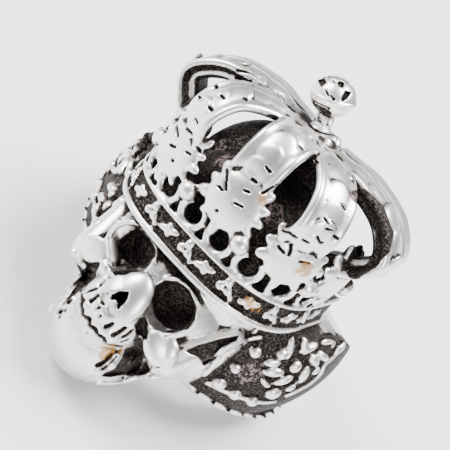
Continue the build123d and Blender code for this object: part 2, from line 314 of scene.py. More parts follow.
def engrave(piece, lines):
    """Cuts lines of (places in the picture, width, depth), in millimetres, into a piece."""
    tree = tree_of(piece)
    for marks, width, depth in lines:
        spots = spots_along(tree, marks, mark_gap)
        if spots:
            cuts[piece.name].append((np.array(spots), width, depth))
    sink(piece)


def sink(piece):
    """Moves the skin in by the depth of the remembered cuts."""
    places, normals = points_of(piece)
    depths = cut_depths(places, piece.name)
    places -= normals * depths[:, None]
    piece.data.vertices.foreach_set("co", places.ravel())
    piece.data.update()
    print(piece.name, "has", len(cuts[piece.name]), "cuts")


def seen_in(piece, tree, outline):
    """How far inside an outline in the picture each seen point of a piece is, in picture units."""
    places, _ = points_of(piece)
    flat = local(places, view.matrix_world)
    x = picture_middle.x - focal_pixels * flat[:, 0] / flat[:, 2]
    y = picture_middle.y + focal_pixels * flat[:, 1] / flat[:, 2]
    inside = np.zeros(len(places), dtype=bool)
    border = np.full(len(places), np.inf)
    for (ax, ay), (bx, by) in zip(outline, outline[1:] + outline[:1]):
        run, rise = bx - ax, by - ay
        crosses = (ay > y) != (by > y)
        inside ^= crosses & (x < ax + (y - ay) * run / (rise + tiny))
        share = np.clip(((x - ax) * run + (y - ay) * rise) / (run ** 2 + rise ** 2), 0, 1)
        border = np.minimum(border, np.hypot(x - ax - share * run, y - ay - share * rise))
    for index in np.flatnonzero(inside):
        way = Vector(places[index]) - eye
        spot = tree.ray_cast(eye, way.normalized())[0]
        if spot is None or (spot - eye).length < way.length - sight_slack:
            inside[index] = False
    return np.where(inside, border, 0.0)


def hollow(piece, outlines):
    """Sinks outlines of (places in the picture, edge width in picture units, depth) away from the camera."""
    tree = tree_of(piece)
    for outline, edge, depth in outlines:
        share = step(seen_in(piece, tree, outline), 0.0, edge)
        places, _ = points_of(piece)
        way = places - np.array(eye)
        way /= np.linalg.norm(way, axis=1)[:, None]
        piece.data.vertices.foreach_set("co", (places + way * (share * depth * MM)[:, None]).ravel())
    piece.data.update()


def thin_out(piece, triangles):
    """Merges small faces where the skin is smooth, down to a number of triangles."""
    bare()
    piece.select_set(True)
    bpy.context.view_layer.objects.active = piece
    now = sum(len(face.vertices) - 2 for face in piece.data.polygons)
    if now > triangles:
        fewer = piece.modifiers.new("fewer", "DECIMATE")
        fewer.ratio = triangles / now
        bpy.ops.object.modifier_apply(modifier="fewer")
    bpy.ops.object.shade_smooth()
    print(piece.name, now, "triangles, now", len(piece.data.polygons), "faces")
# %% [markdown]
# The skull and the shank come first. The solid's plain beads are taken off its shoulders, so that flowers can
# take their place. The skull's left shoulder is taken in a little, because the picture shows it closer in.
# %% Shoulders without beads
SIDES = (-1, 1)
shank_middle = Vector((0, 7.3, -3.75))
shank_radius, shank_crowning, shank_width = 13.9, 1.5, 11.3
# A turn is 0 at the shank's side and 90 at its back, in degrees
bead_turns, bead_reach, shoulder_foot = (-51, 60), 1.3, -8.9
taken_turns, taken_in = (-24, 6), 0.45


def shank_reach(level):
    """The shank's outer radius at a level."""
    return shank_radius - shank_crowning * (2 * (level - shank_middle.z) / shank_width) ** 2


def round_shank(places):
    """How far places are from the shank's upright axis, and their turns round it."""
    away = places[:, 1] - shank_middle.y
    return np.hypot(places[:, 0], away), np.degrees(np.arctan2(away, np.abs(places[:, 0])))


def left_taken(places, turns):
    """How far the skull's left shoulder is taken in at each place."""
    return taken_in * step(turns, *taken_turns) * (places[:, 0] > 0)


base = copied("skull_ring")
places = local(points_of(base)[0], HEAD)
reach, turns = round_shank(places)
ground = shank_reach(places[:, 2])
carved = (turns > bead_turns[0]) & (turns < bead_turns[1]) & (places[:, 2] > shoulder_foot)
carved &= np.abs(reach - ground) < bead_reach
ground = ground - left_taken(places, turns)
share = (ground / reach)[carved]
places[carved, 0] *= share
places[carved, 1] = shank_middle.y + (places[carved, 1] - shank_middle.y) * share
put_back(base, places, HEAD)
base_tree = tree_of(base)
print("beads taken off:", int(carved.sum()), "points")
# %% [markdown]
# Raised ornament is laid on the ring where sight lines meet it, as eggs and wires that melt into the ring
# when it is cast. Casting takes a little off a petal, so it is laid wider, higher and longer.
# %% Forms laid on the ring
petal_wider, petal_higher, petal_longer = 1.3, 1.1, 0.22
egg_rise = 0.12


def mirrored(place):
    """The same place on the other side of the skull."""
    flip = HEAD @ Matrix.Diagonal((-1, 1, 1, 1)) @ HEAD.inverted()
    return flip @ place


def lying(start, end, normal, width, height, longer):
    """An egg that lies on a surface from one place to another."""
    along = end - start
    half = along.length / 2 / MM + longer
    along = along.normalized() if half > longer else normal.orthogonal().normalized()
    normal = (normal - along * normal.dot(along)).normalized()
    seat = Matrix((along, normal.cross(along), normal)).transposed().to_4x4()
    seat = Matrix.Translation((start + end) / 2) @ seat @ Matrix.Scale(MM, 4)
    return egg(seat, (0, 0, egg_rise * height), (half, width / 2, height))


def laid(start, end, normal, width, height, longer, both):
    """An egg that lies on the ring, and its mirror image where that is asked for."""
    forms = [lying(start, end, normal, width, height, longer)]
    if both:
        other = (mirrored(start + normal) - mirrored(start)).normalized()
        forms.append(lying(mirrored(start), mirrored(end), other, width, height, longer))
    return forms


def petal(x0, y0, x1, y1, width, height, both=False):
    """A raised form between two places in the picture."""
    start, first = touch(base_tree, x0, y0)
    end, second = touch(base_tree, x1, y1)
    if start is None or end is None:
        return []
    normal = (first + second).normalized()
    return laid(start, end, normal, petal_wider * width, petal_higher * height, petal_longer, both)


def bead(x, y, radius, height, both=False):
    """A round bead at a place in the picture."""
    spot, normal = touch(base_tree, x, y)
    if spot is None:
        return []
    return laid(spot, spot, normal, 2 * radius, height, radius, both)


def ridge(marks, thickness, both=False):
    """A wire laid on the ring's surface along places in the picture."""
    run = []
    for x, y, _ in smooth([(x, y, 0) for x, y in marks], 5):
        spot, _ = touch(base_tree, x, y)
        if spot is not None:
            run.append(spot)
    to_head = HEAD.inverted()
    forms = [drawn(HEAD, [to_head @ spot for spot in run], thickness)]
    if both:
        forms.append(drawn(HEAD, [to_head @ mirrored(spot) for spot in run], thickness))
    return forms
# %% [markdown]
# The cheekbones have fat rounded lobes, and a hard rim runs along the jaw. Small eggs make the side teeth.
# Two flat eggs close the solid's plain nose, whose place the heart of the nose takes, and one fills the lip.
# %% Cheeks, teeth and nose
first_tooth, tooth_gap, tooth_radii = (3.1, -10.2, -10.0), (0.28, 0.85, 0.35), (0.5, 0.55, 0.8)
# Columns: place, radii and turn
nose_plates = [((0.4, -11.85, -4.75), (1.8, 1.0, 2.8), (radians(-14), radians(-8), 0)),
               ((-0.3, -11.8, -5.9), (1.85, 1.0, 2.3), (radians(-10), 0, 0)),
               ((0, -11.9, -7.7), (2.6, 1.35, 1.6), (0, 0, 0))]
# Columns: both ends in the picture, then width and height in millimetres
cheek_lobes = [(153, 332, 163, 364, 1.9, 0.5), (168, 338, 168, 362, 1.5, 0.5),
               (82, 246, 106, 252, 1.9, 0.25), (111, 238, 115, 266, 1.0, 0.2)]
side_teeth = [(113, 356, 117, 352), (106, 363, 112, 358), (110, 368, 117, 362), (98, 369, 106, 366)]
tooth_count, tooth_width, tooth_height = 3, 0.55, 0.45
jaw_rim_thickness, side_rim_thickness = 0.7, 0.6
jaw_rim = [(96, 381), (118, 381), (140, 375), (158, 368)]
side_rim = [(56, 316), (66, 298), (77, 280), (88, 264)]

skull_forms = [base]
for side in SIDES:
    for k in range(tooth_count):
        x, y, z = (first + gap * k for first, gap in zip(first_tooth, tooth_gap))
        skull_forms.append(egg(HEAD, (side * x, y, z), tooth_radii))
for place, radii, turn in nose_plates:
    skull_forms.append(egg(HEAD, place, radii, turn))
for lobe in cheek_lobes:
    skull_forms += petal(*lobe)
skull_forms += ridge(jaw_rim, jaw_rim_thickness, True)
skull_forms += ridge(side_rim, side_rim_thickness)
for tooth in side_teeth:
    skull_forms += petal(*tooth, tooth_width, tooth_height)
print(len(skull_forms), "forms of the face")
# %% [markdown]
# The back of the head fills out under the crown with two eggs, as far as the finger hole lets it.
# %% Back of the head
finger_radius, finger_length = 9.62, 60
# Columns: place and radii
occiput_eggs = [((-2.2, -0.1, 4.6), (6.2, 3.5, 7.6)), ((0.6, -0.3, 1.2), (7.2, 3.6, 9.6))]
bare()
bpy.ops.mesh.primitive_cylinder_add(vertices=128, radius=finger_radius, depth=finger_length,
                                    location=bore_middle)
finger = settle(HEAD, "finger")
for place, radii in occiput_eggs:
    occiput = egg(HEAD, place, radii)
    hole = occiput.modifiers.new("hole", "BOOLEAN")
    hole.operation = "DIFFERENCE"
    hole.object = finger
    bpy.ops.object.modifier_apply(modifier="hole")
    skull_forms.append(occiput)
bpy.data.objects.remove(finger)
print(len(skull_forms), "forms of the skull")
# %% [markdown]
# The shoulders of the shank carry raised flowers, leaves and dots on a dark ground inside a wavy border.
# They are laid on the skull's left shoulder and mirrored on its right one. The picture shows only the edge of
# the right shoulder, which has a few leaves, a dot and a border of its own there.
# %% Shoulder ornament
bead_height, leaf_height, edge_leaf_width = 0.6, 0.5, 0.75
# Columns: place in the picture and radius in millimetres
shoulder_beads = [
    (255, 351, 0.58), (235.5, 367, 0.5), (219.5, 382, 0.68), (235, 392.5, 0.62), (252, 399, 0.6),
    (272.5, 391, 0.78), (294, 365, 0.66), (281, 353, 0.55), (338.5, 312.5, 0.58),
    (345, 324, 0.55), (348, 334, 0.5),
]
# Columns: both ends in the picture and width in millimetres
shoulder_leaves = [
    (265, 361, 278, 362, 0.62), (264, 370, 282, 371, 0.8), (274, 381, 291, 375, 0.8),
    (291, 336, 286, 357, 0.6), (302, 338, 304, 352, 0.7), (299, 350, 315, 344, 0.65),
    (310, 355, 315, 363, 0.7), (306, 366, 298, 380, 0.8), (321, 342, 335, 339, 0.65),
    (327, 335, 331, 346, 0.65), (318, 352, 325, 358, 0.6), (342, 342, 334, 352, 0.7),
    (311, 371, 316, 366, 0.6), (285, 387, 293, 383, 0.6), (262, 378, 268, 384, 0.5),
]
# Columns: both ends in the picture
edge_leaves = [(122, 168, 124, 174), (130, 172, 132, 178), (128, 153, 132, 159), (141, 149, 145, 153),
               (112, 186, 116, 192), (103, 196, 106, 202)]
# Columns: place in the picture, then radius and height in millimetres
edge_bead = (109.6, 208, 0.62, 0.62)
# Columns: run in the picture, thickness in millimetres, and whether it is mirrored
borders = [
    ([(203, 375), (211, 368), (215, 361), (222, 351), (232, 344), (246, 339), (262, 336)], 0.55, True),
    ([(338, 345), (333, 355), (323, 364), (319, 373), (309, 382), (297, 389), (284, 395)], 0.65, True),
    ([(206, 381), (222, 389), (240, 396), (260, 401), (276, 400)], 0.6, True),
    ([(103, 183), (98, 196), (95, 212), (96, 223)], 0.6, False),
]

shoulder_forms = []
for x, y, radius in shoulder_beads:
    shoulder_forms += bead(x, y, radius, bead_height, True)
for x, y, x1, y1, width in shoulder_leaves:
    shoulder_forms += petal(x, y, x1, y1, width, leaf_height, True)
for ends in edge_leaves:
    shoulder_forms += petal(*ends, edge_leaf_width, leaf_height)
shoulder_forms += bead(*edge_bead)
for marks, thickness, both in borders:
    shoulder_forms += ridge(marks, thickness, both)
print(len(shoulder_forms), "forms of the shoulders")
# %% [markdown]
# The head and the shank are one casting, so all their forms are cast as one skin. Then the graver follows
# the picture: the zigzag line between the teeth, the gaps of the teeth and the wrinkles. The heart of the
# nose, the sockets and the hollows of jaw, cheeks and temple sink. What the picture doesn't show isn't cut.
# %% Casting the skull and the shank
skull_grain = 0.125
skull = cast(skull_forms + shoulder_forms, "skull_and_shank", skull_grain)
cuts[skull.name] = []
mouth = [(82.5, 290.8), (80, 297), (83, 300.5), (80, 304.6), (82.5, 310.3), (82, 316), (89.4, 319),
         (88.8, 326.4), (95, 328.7), (96.8, 335), (103, 338), (105.4, 343.6), (113.5, 346), (121, 347)]
# Columns: run in the picture, then width and depth in millimetres
skull_lines = [
    (mouth, 0.42, 0.4), ([(88.2, 291.4), (92, 290), (96.3, 288.5)], 0.34, 0.3),
    ([(90.5, 301), (94, 299), (97.4, 295.4)], 0.42, 0.35),
    ([(97, 308.5), (99.7, 307)], 0.3, 0.22), ([(100, 316.6), (101, 316)], 0.28, 0.2),
    ([(105.4, 327), (109, 326), (112.3, 324)], 0.4, 0.3),
    ([(113.5, 335.6), (119, 333), (124.4, 328.7)], 0.5, 0.4),
    ([(123.8, 337.3), (128, 335), (132, 331.5)], 0.5, 0.4), ([(121.5, 342), (129, 339.6)], 0.3, 0.25),
    ([(60, 313), (62, 311)], 0.25, 0.2), ([(65, 311), (65, 309)], 0.25, 0.2),
    ([(68, 303), (71, 300)], 0.28, 0.2), ([(59, 318), (60, 316)], 0.22, 0.2),
    ([(85, 323), (88, 326)], 0.2, 0.12), ([(86, 332), (87, 334)], 0.2, 0.12),
    ([(96, 366), (104, 362), (111, 354)], 0.3, 0.3), ([(101, 370), (110, 365), (117, 357)], 0.3, 0.3),
    ([(100, 284), (108, 276), (120, 273), (134, 272)], 0.7, 0.3),
]
heart = [(129.6, 291.3), (127.8, 300), (118, 310.3), (116.3, 309), (117.5, 303.4), (115.8, 300),
         (110, 300.5), (111.2, 295.4), (119.2, 290.8)]
right_socket = [(137.6, 226.5), (120, 239), (118, 248), (122.7, 258.6), (135, 269.5), (148, 264),
                (156, 257.5), (157, 249), (150, 238)]
left_socket = [(164, 279), (155, 286), (151.4, 300), (153.7, 315), (164, 327.5), (176.6, 332), (189, 330),
               (196, 320.6), (198, 307), (190.4, 289.6), (178, 280.4)]
jaw_hollow = [(124, 348), (137.6, 343.6), (142.8, 350.5), (144, 362), (140, 370), (127, 375.7), (111, 378),
              (99, 377), (104, 372), (114, 368), (121, 358)]
cheek_hollow = [(139, 317), (146.8, 315), (148.5, 325), (148.5, 341), (143, 339), (135, 332), (134, 325)]
side_hollow = [(57, 312.6), (88, 265.5), (97.4, 271), (96, 279), (82.5, 289.6), (67.6, 302)]
temple_hollow = [(183, 351), (198, 344), (220, 338), (242, 334), (236, 341), (222, 348), (214, 358),
                 (204, 367), (198, 358), (190, 355)]
# Columns: outline, the width of its edge in picture units, and depth in millimetres
skull_hollows = [(heart, 2.5, 1.5), (jaw_hollow, 5, 0.9), (cheek_hollow, 4, 0.7), (side_hollow, 4, 0.5),
                 (temple_hollow, 4, 0.5), (right_socket, 4, 0.6), (left_socket, 4, 0.4)]
engrave(skull, skull_lines)
hollow(skull, skull_hollows)
# %% [markdown]
# The crown is one casting too. Its plan is squarish, and every part stands on that plan at a turn from the
# front: the band with its rims and raised motifs, the curled strips, the balls, the leaves and the arches.
# The same few sizes that shape its solid place them here.
# %% Crown plan
band_squareness, band_stretch = 2.7, 1.1
band_height, side_length = 3.1, 4.5
crown_turn, arch_step, arch_count = 2.0, 37.5, 5
leaf_level, ball_level, loop_level = 6.9, 5.4, 4.25
arch_turns = [crown_turn + arch_step * (k - arch_count // 2) for k in range(arch_count)]
ball_turns = [arch_turns[0] - arch_step / 2 + arch_step * k for k in range(arch_count + 1)]
boss = Vector((0, -1.9, 14.0))
orb_lean = radians(20.0)


def plan(turn, half_width, level=0.0):
    """A point on the crown's plan. Turn 0 is the front and 90 the skull's left."""
    side, front = sin(radians(turn)), cos(radians(turn))
    span = abs(side) ** band_squareness + abs(front) ** band_squareness
    reach = half_width / span ** (1 / band_squareness)
    return Vector((reach * side, -band_stretch * reach * front, level))


def on_crown(turn, half_width, level, spin=0.0, lean_in=0.0):
    """A seat on the crown's plan: x round it, y up and z outwards."""
    along = (plan(turn + 2, half_width) - plan(turn - 2, half_width)).normalized()
    up = Vector((0, 0, 1))
    seat = Matrix((along, up, along.cross(up))).transposed().to_4x4()
    place = Matrix.Translation(plan(turn, half_width, level))
    return CROWN @ place @ seat @ Matrix.Rotation(lean_in, 4, "X") @ Matrix.Rotation(spin, 4, "Z")


def round_plan(half_width, level):
    """The open run round the crown, from its back on one side to its back on the other."""
    run = [Vector((-half_width, side_length * k / 3, level)) for k in (3, 2, 1)]
    run += [plan(turn, half_width, level) for turn in range(-90, 91, 3)]
    return run + [Vector((half_width, side_length * k / 3, level)) for k in (1, 2, 3)]


print("arches at", arch_turns, "and balls at", ball_turns)
# %% Band, rims and motifs
# Columns: half width of the run and its level, then the wire's thickness
rims = [(9.62, 0.36, 0.72), (9.3, 0.3, 0.6), (9.55, band_height - 0.2, 0.5), (9.2, band_height - 0.25, 0.5)]
band_reach, band_wall = 9.1, 0.8
motif_count, motif_step, motif_reach, motif_level = 15, 13.0, 9.5, 1.75
trefoil_reach, trefoil_radii = 0.46, (0.44, 0.44, 0.34)
bud_place, bud_radii = (0.95, -0.62, 0.05), (0.27, 0.27, 0.3)
# Columns: angle of each arm of a cross in degrees, and its size
cross_arms = [(20, 0.95), (110, 0.6), (200, 0.95), (290, 0.6)]


def trefoil(seat):
    """Three round leaves and a small bud beside them."""
    forms = []
    for angle in (90, 210, 330):
        place = (trefoil_reach * cos(radians(angle)), trefoil_reach * sin(radians(angle)), 0.08)
        forms.append(egg(seat, place, trefoil_radii))
    return forms + [egg(seat, bud_place, bud_radii)]


def petal_cross(seat):
    """Four petals in a cross, two of them long."""
    forms = []
    for angle, size in cross_arms:
        arm = seat @ Matrix.Rotation(radians(angle), 4, "Z")
        forms.append(egg(arm, (0.45 * size, 0, 0.06), (0.72 * size, 0.34, 0.3)))
    return forms


crown_forms = [drawn(CROWN, round_plan(band_reach, band_height / 2), band_wall, width=band_height)]
for half_width, level, thickness in rims:
    crown_forms.append(drawn(CROWN, round_plan(half_width, level), thickness))
for k in range(motif_count):
    motif = trefoil if k % 2 else petal_cross
    crown_forms += motif(on_crown(crown_turn + motif_step * (k - motif_count // 2), motif_reach, motif_level))
print(len(crown_forms), "forms of the band")
# %% [markdown]
# Between the leaves stand balls on stalks. A curled strip swings down from each ball, along the band and up
# to the next leaf's foot, so that each strip is a round C that is open towards the top.
# %% Curled strips and balls
ball_reach, ball_radii, stalk_thickness = 8.95, (0.86, 0.86, 0.75), 0.75
stalk = [(0, -0.2, 0), (0.05, -1.3, 0), (0, -2.4, 0)]
# A strip is a row of points round its middle, whose turn is shifted from its ball's. Angles are in degrees,
# and the crown is open behind the last one
strip_points, strip_start, strip_step, strip_shift, open_back = 25, 145, 12, 9.2, 92
strip_reach, strip_radius, strip_rise, strip_thickness = 9.4, 1.2, 0.12, 0.72


def ball(turn):
    """A ball on its stalk."""
    seat = on_crown(turn, ball_reach, ball_level)
    return [egg(seat, (0, 0, 1.0), ball_radii), drawn(seat, stalk, stalk_thickness)]


def strip(turn, side):
    """A curled strip that is open towards the top."""
    run = []
    for k in range(strip_points):
        angle = radians(-90 - side * strip_start + side * strip_step * k)
        run.append((strip_radius * cos(angle), strip_radius * sin(angle), strip_rise * sin(angle)))
    return drawn(on_crown(turn, strip_reach, loop_level), run, strip_thickness)


for turn in ball_turns:
    crown_forms += ball(turn)
for turn in ball_turns:
    for side in SIDES:
        if abs(turn + side * strip_shift) < open_back:
            crown_forms.append(strip(turn + side * strip_shift, side))
print(len(crown_forms), "forms with the strips and balls")
# %% [markdown]
# A leaf is a disc with twelve rounded lobes of uneven reach round it. It covers an arch's foot. No two leaves
# are quite alike on a hand-finished casting, so a seeded draw turns each a little and varies its lobes.
# %% Leaves
draw = np.random.default_rng(11)
leaf_reach, leaf_lean, leaf_size, leaf_spin = 9.5, radians(-4), 1.08, 0.12
disc_radius, disc_height, disc_out = 2.42, 0.72, 0.12
lobe_longer, lobe_uneven, lobe_inset = 0.12, 0.05, 1.1
lobe_half, lobe_height, lobe_tilt = 1.2, 0.46, radians(6)
# Columns: angle from straight up in degrees, reach in millimetres and half width of each lobe
lobes = [(-150, 2.7, 0.5), (-118, 3.0, 0.62), (-88, 2.8, 0.6), (-60, 3.0, 0.66), (-28, 3.0, 0.72),
         (6, 2.9, 0.66), (36, 2.9, 0.56), (62, 2.8, 0.5), (86, 2.9, 0.5), (110, 2.8, 0.48),
         (136, 2.9, 0.55), (174, 3.1, 0.5)]
# Columns: each leaf's own shift round the crown in degrees and up it in millimetres
leaf_shifts = [(0, 0), (0, 0.1), (2.5, 0.75), (3.0, 0.4), (0, 0)]


def leaf(turn, size, level, spin):
    """A lobed leaf on the crown's plan at a turn."""
    seat = on_crown(turn, leaf_reach, level, spin, leaf_lean)
    forms = [egg(seat, (0, 0, disc_out), (disc_radius * size, disc_radius * size, disc_height))]
    for angle, reach, half in lobes:
        lobe = seat @ Matrix.Rotation(radians(90 - angle), 4, "Z")
        reach = (reach + lobe_longer) * size * (1 + lobe_uneven * draw.uniform(-1, 1))
        radii = (lobe_half, half, lobe_height)
        forms.append(egg(lobe, (reach - lobe_inset, 0, 0), radii, (0, lobe_tilt, 0)))
    return forms


for turn, (shift, lift) in zip(arch_turns, leaf_shifts):
    crown_forms += leaf(turn + shift, leaf_size, leaf_level + lift, leaf_spin * draw.uniform(-1, 1))
print(len(crown_forms), "forms with the leaves")
# %% [markdown]
# An arch is a flat strap with its wide face outwards, bent from behind its leaf up and over to the boss under
# the orb. Its edges are rolled, and its outside is a row of long overlapping scales. The path bulges more on
# the crown's sides than at its front. The arches next to the open back are broader and thicker than the rest.
# %% Arches
# Columns: share of the reach, of the bulge and of the rise, from the foot to the boss
arch_shares = [(1.0, 0.0, -0.04), (1.0, 0.72, 0.25), (1.0, 1.0, 0.58), (0.97, 0.45, 0.93),
               (0.72, 0.0, 1.06), (0.42, 0.0, 1.03), (0.2, 0.0, 1.0)]
arch_rise, front_bulge, side_bulge, foot_reach = 6.8, 1.0, 3.8, 8.3
arch_width, arch_wall, path_steps = 3.9, 0.85, 7
# How far each part stands out from the arch's path, then its thickness or its radii
roll_out, roll_inset, roll_thickness = 0.1, 0.22, 0.82
scale_out, scale_tilt, scale_radii = 0.24, radians(5), (1.5, 0.34, 1.25)
first_scale, scale_every = 5, 4
tip_out, tip_radii = 0.16, (1.5, 0.5, 1.85)
# Where the broad arches start, and how far behind their path and inside it their second and third straps are
broad_turn, strap_behind, strap_width = 60, 2.3, 3.2
second_out, second_wall, third_out, third_wall = -0.1, 0.8, -0.75, 1.1
# The drum under the orb and the beads round it
drum, drum_thickness = [(0, 0, -1.5), (0, 0, 0.42)], 3.4
drum_beads, drum_bead_reach, drum_bead_level, drum_bead_radius = 9, 1.75, -0.1, 0.5


def arch_seat(turn):
    """The upright plane of an arch: x from the boss to the foot, y up. Also that reach."""
    foot = plan(turn, foot_reach)
    out = Vector((foot.x - boss.x, foot.y - boss.y, 0))
    reach = out.length
    out.normalize()
    up = Vector((0, 0, 1))
    seat = Matrix((out, up, out.cross(up))).transposed().to_4x4()
    return CROWN @ Matrix.Translation((boss.x, boss.y, 0)) @ seat, reach


def arch_path(turn, reach, proud):
    """Points of an arch's path, moved outwards by a distance."""
    bulge = front_bulge + (side_bulge - front_bulge) * sin(radians(turn)) ** 2
    points = [(a * reach + b * bulge, leaf_level + c * arch_rise, 0) for a, b, c in arch_shares]
    run = smooth(points, path_steps)
    moved = []
    for before, here, after in zip(run[:1] + run, run, run[1:] + run[-1:]):
        along = (after - before).normalized()
        moved.append(here + proud * Vector((along.y, -along.x, 0)))
    return moved


def broader(turn, seat, reach):
    """The second and the third strap of an arch next to the open back."""
    behind = strap_behind if turn < 0 else -strap_behind
    second = [p + Vector((0, 0, behind)) for p in arch_path(turn, reach, second_out)]
    third = arch_path(turn, reach, third_out)
    forms = [drawn(seat, second, second_wall, width=strap_width)]
    return forms + [drawn(seat, third, third_wall, width=strap_width)]


def arch(turn):
    """A strap with rolled edges, its scales and its tip on the boss."""
    seat, reach = arch_seat(turn)
    forms = [drawn(seat, arch_path(turn, reach, 0), arch_wall, width=arch_width)]
    for edge in SIDES:
        inset = Vector((0, 0, edge * (arch_width / 2 - roll_inset)))
        forms.append(drawn(seat, [p + inset for p in arch_path(turn, reach, roll_out)], roll_thickness))
    scales = arch_path(turn, reach, scale_out)
    for k in range(first_scale, len(scales) - scale_every, scale_every):
        along = (scales[k + 1] - scales[k - 1]).normalized()
        forms.append(egg(seat, scales[k], scale_radii, (0, 0, atan2(along.y, along.x) - scale_tilt)))
    if abs(turn) > broad_turn:
        forms += broader(turn, seat, reach)
    return forms + [egg(seat, arch_path(turn, reach, tip_out)[-3], tip_radii)]


for turn in arch_turns:
    crown_forms += arch(turn)
orb_seat = CROWN @ Matrix.Translation(boss) @ Matrix.Rotation(-orb_lean, 4, "Y")
crown_forms.append(drawn(orb_seat, drum, drum_thickness))
for k in range(drum_beads):
    angle = tau * k / drum_beads
    place = (drum_bead_reach * cos(angle), drum_bead_reach * sin(angle), drum_bead_level)
    crown_forms.append(egg(orb_seat, place, (drum_bead_radius,) * 3))
print(len(crown_forms), "forms of the crown")
# %% [markdown]
# The crown is cast as one skin, and then the graver cuts the nicks that wear has left, the slits in the
# leaves and the seams along the arches.
# %% Casting the crown
crown_grain = 0.112
crown = cast(crown_forms, "crown_casting", crown_grain)
cuts[crown.name] = []
nicks = [
    [(215, 84), (217, 88)], [(221, 95), (224, 98)], [(199, 97), (202, 100)], [(209, 107), (212, 110)],
    [(195, 119), (197, 123)], [(251, 82), (254, 85)], [(266, 82), (269, 85)], [(266, 167), (270, 172)],
    [(289, 174), (295, 178)], [(276, 186), (281, 190)], [(252, 179), (256, 182)], [(310, 137), (314, 142)],
    [(318, 128), (322, 133)], [(324, 147), (328, 151)], [(312, 159), (317, 163)], [(352, 169), (356, 173)],
    [(351, 179), (355, 183)], [(325, 219), (328, 223)], [(237, 78), (240, 80)], [(186, 128), (188, 131)],
    [(244, 98), (247, 100)], [(300, 146), (304, 150)], [(342, 205), (345, 209)], [(334, 236), (338, 239)],
]
slits = [
    [(227, 170), (227, 176), (226, 182), (226, 190)], [(234, 203), (238, 205), (242, 207)],
    [(216, 210), (217, 211)], [(278, 246), (281, 250), (284, 253)], [(291, 245), (291, 250), (289, 255)],
    [(176, 123), (177, 130), (178, 136)], [(186, 152), (190, 154)], [(172, 160), (173, 161)],
    [(348, 272), (350, 277)], [(170, 145), (175, 147)], [(197, 148), (200, 151)], [(300, 262), (310, 264)],
    [(218, 186), (222, 190)], [(244, 190), (249, 192)], [(303, 240), (308, 243)],
]
seams = [
    [(262, 193), (268, 190), (273, 187)], [(275, 187), (282, 183), (290, 176)], [(293, 175), (299, 169)],
    [(301, 167), (308, 162)], [(311, 159), (317, 155), (322, 149)], [(283, 231), (290, 233), (296, 238)],
    [(318, 237), (320, 243), (323, 243)], [(327, 229), (333, 231)], [(352, 170), (354, 180)],
    [(186, 128), (192, 134)], [(237, 71), (250, 72), (262, 79)], [(266, 84), (276, 92), (284, 104)],
]
# Columns: runs in the picture, then width and depth in millimetres
crown_cuts = [(nicks, 0.3, 0.32), (slits, 0.27, 0.32), (seams, 0.26, 0.3)]
engrave(crown, [(marks, width, depth) for runs, width, depth in crown_cuts for marks in runs])
# %% [markdown]
# The orb on top is a squashed ball with a girdle and dark square pits, on a waisted stem with a wide foot.
# Its stem goes down into the crown's boss, as its solid's does. The picture's orb is a little smaller than
# the solid, so it shrinks towards the boss.
# %% Orb
girdle_points, girdle_radius, girdle_level, girdle_wave, girdle_thickness = 32, 2.12, 3.75, 0.2, 0.3
foot_level, foot_radii = 0.72, (0.95, 0.95, 0.3)
rib_count, rib_turn, rib_reach, rib_level, rib_radii = 4, 0.5, 0.62, 1.5, (0.3, 0.3, 0.7)
orb_grain, orb_shrink, pit_edge, pit_depth = 0.075, (0.93, 0.93, 0.94), 2, 0.6
orb_lines = [
    ([(331, 96), (334, 99)], 0.4, 0.2), ([(313, 102), (320, 106), (328, 109)], 0.5, 0.25),
    ([(333, 80), (338, 83)], 0.35, 0.2), ([(326, 91), (328, 95)], 0.3, 0.2),
]
orb_pits = [[(317, 80), (325, 77), (328, 83), (321, 88)],
            [(340, 99), (345, 90), (352, 92), (348, 99), (342, 103)]]
# An outline of painted shade on the orb, which is made black through the oxide share below
orb_shade = [(308, 97), (316, 103), (326, 108), (333, 112), (331, 120), (322, 116), (318, 108), (309, 104)]

girdle = []
for k in range(girdle_points):
    angle = tau * k / girdle_points
    level = girdle_level + girdle_wave * sin(angle)
    girdle.append((girdle_radius * cos(angle), girdle_radius * sin(angle), level))
orb_forms = [copied("orb_finial"), drawn(orb_seat, girdle, girdle_thickness, closed=True)]
orb_forms.append(egg(orb_seat, (0, 0, foot_level), foot_radii))
for k in range(rib_count):
    angle = tau * k / rib_count + rib_turn
    orb_forms.append(egg(orb_seat, (rib_reach * cos(angle), rib_reach * sin(angle), rib_level), rib_radii))
orb = cast(orb_forms, "orb_on_stem", orb_grain, passes=2)
cuts[orb.name] = []
put_back(orb, local(points_of(orb)[0], orb_seat) * orb_shrink, orb_seat)
engrave(orb, orb_lines)
hollow(orb, [(outline, pit_edge, pit_depth) for outline in orb_pits])
# %% [markdown]
# Old silver is bright where fingers polish it and black where they can't reach. So each point gets an
# attribute with four shares: how dark its oxide is, how much it is rubbed to a pinkish grey, how much
# amber polish has dried on it, and how coarse its ground is. Short rays measure how shut in a point is,
# and the cuts and the known dark grounds are added. On the orb, the dark share also holds a patch of painted
# shade.
# %% Ageing
ray_count = 12
ray_reach, ray_start = 2.6 * MM, 0.06 * MM
mark_core = 0.4
low_passes = 14


def ray_fan(count):
    """Directions spread evenly over the half ball round +Z."""
    fan = []
    for k in range(count):
        height = 0.25 + 0.75 * (k + 0.5) / count
        angle = k * pi * (3 - 5 ** 0.5)
        flat = (1 - height * height) ** 0.5
        fan.append(Vector((flat * cos(angle), flat * sin(angle), height)))
    return fan


